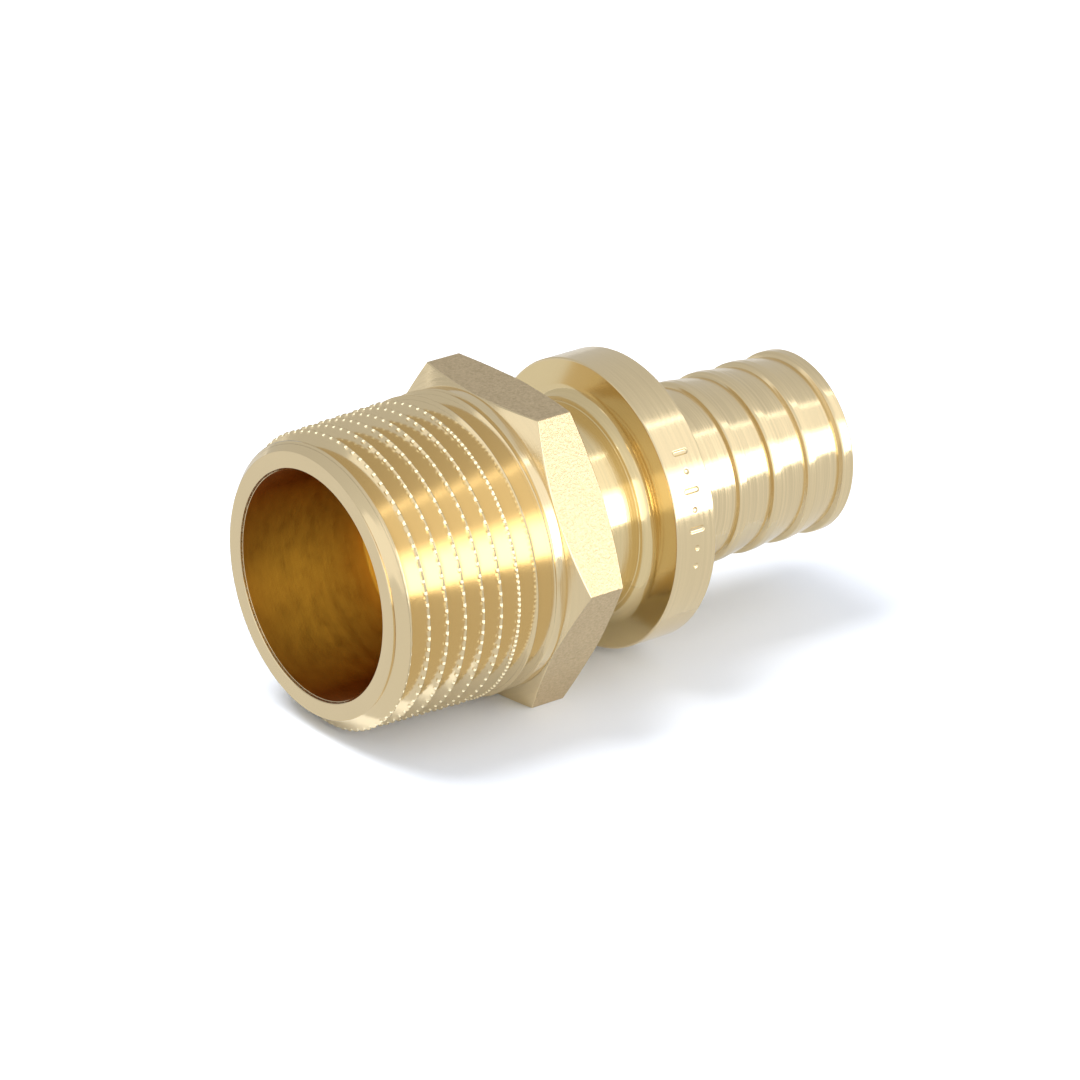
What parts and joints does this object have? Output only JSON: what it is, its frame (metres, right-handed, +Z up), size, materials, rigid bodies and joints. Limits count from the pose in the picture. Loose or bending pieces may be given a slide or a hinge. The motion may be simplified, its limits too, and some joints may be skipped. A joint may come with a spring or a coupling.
{
  "type": "pex coupling",
  "caption": "One-piece brass coupling for plastic pipe: a tapered male pipe thread, a hexagon, a grooved collar and a barbed spigot on one straight waterway.",
  "frame": {"origin": "on the surface that the part lies on, under the middle of its length", "axes": "+X along the waterway from the threaded end to the spigot, +Z up, out of the hexagon's upper flat"},
  "size_m": [0.0524, 0.0306, 0.0265],
  "materials": {
    "brass": "turned, with a fine blasted grain on the hexagon's flats"
  },
  "bodies": {
    "root": {"coupling_body": "brass"}
  },
  "joints": []
}
